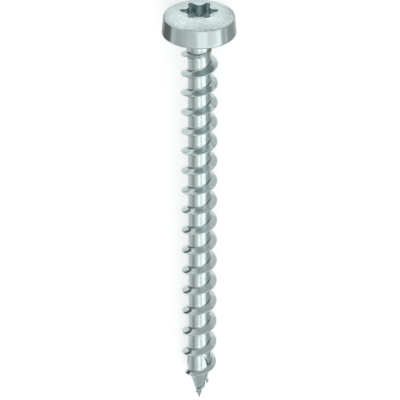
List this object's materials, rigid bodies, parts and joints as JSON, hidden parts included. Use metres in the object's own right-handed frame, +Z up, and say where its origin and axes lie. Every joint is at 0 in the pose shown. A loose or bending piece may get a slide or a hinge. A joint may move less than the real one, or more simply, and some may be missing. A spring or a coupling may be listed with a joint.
{
  "type": "pan head wood screw",
  "caption": "Full-thread wood screw with a pan head, a lobed drive, a coarse thread of growing pitch and a notched cutting point, lying on its side.",
  "frame": {"origin": "centre of the box's base, on the surface that the screw lies on", "axes": "+X towards the tip along the surface, +Z up; the screw's own axis dips 2.64 degrees below +X, because it rests on the head's rim and on a thread crest"},
  "size_m": [0.0634, 0.0098, 0.0098],
  "materials": {
    "screw": "bright zinc plating, satin with fine rolling and forging marks"
  },
  "bodies": {
    "root": {"screw": "screw"}
  },
  "joints": []
}
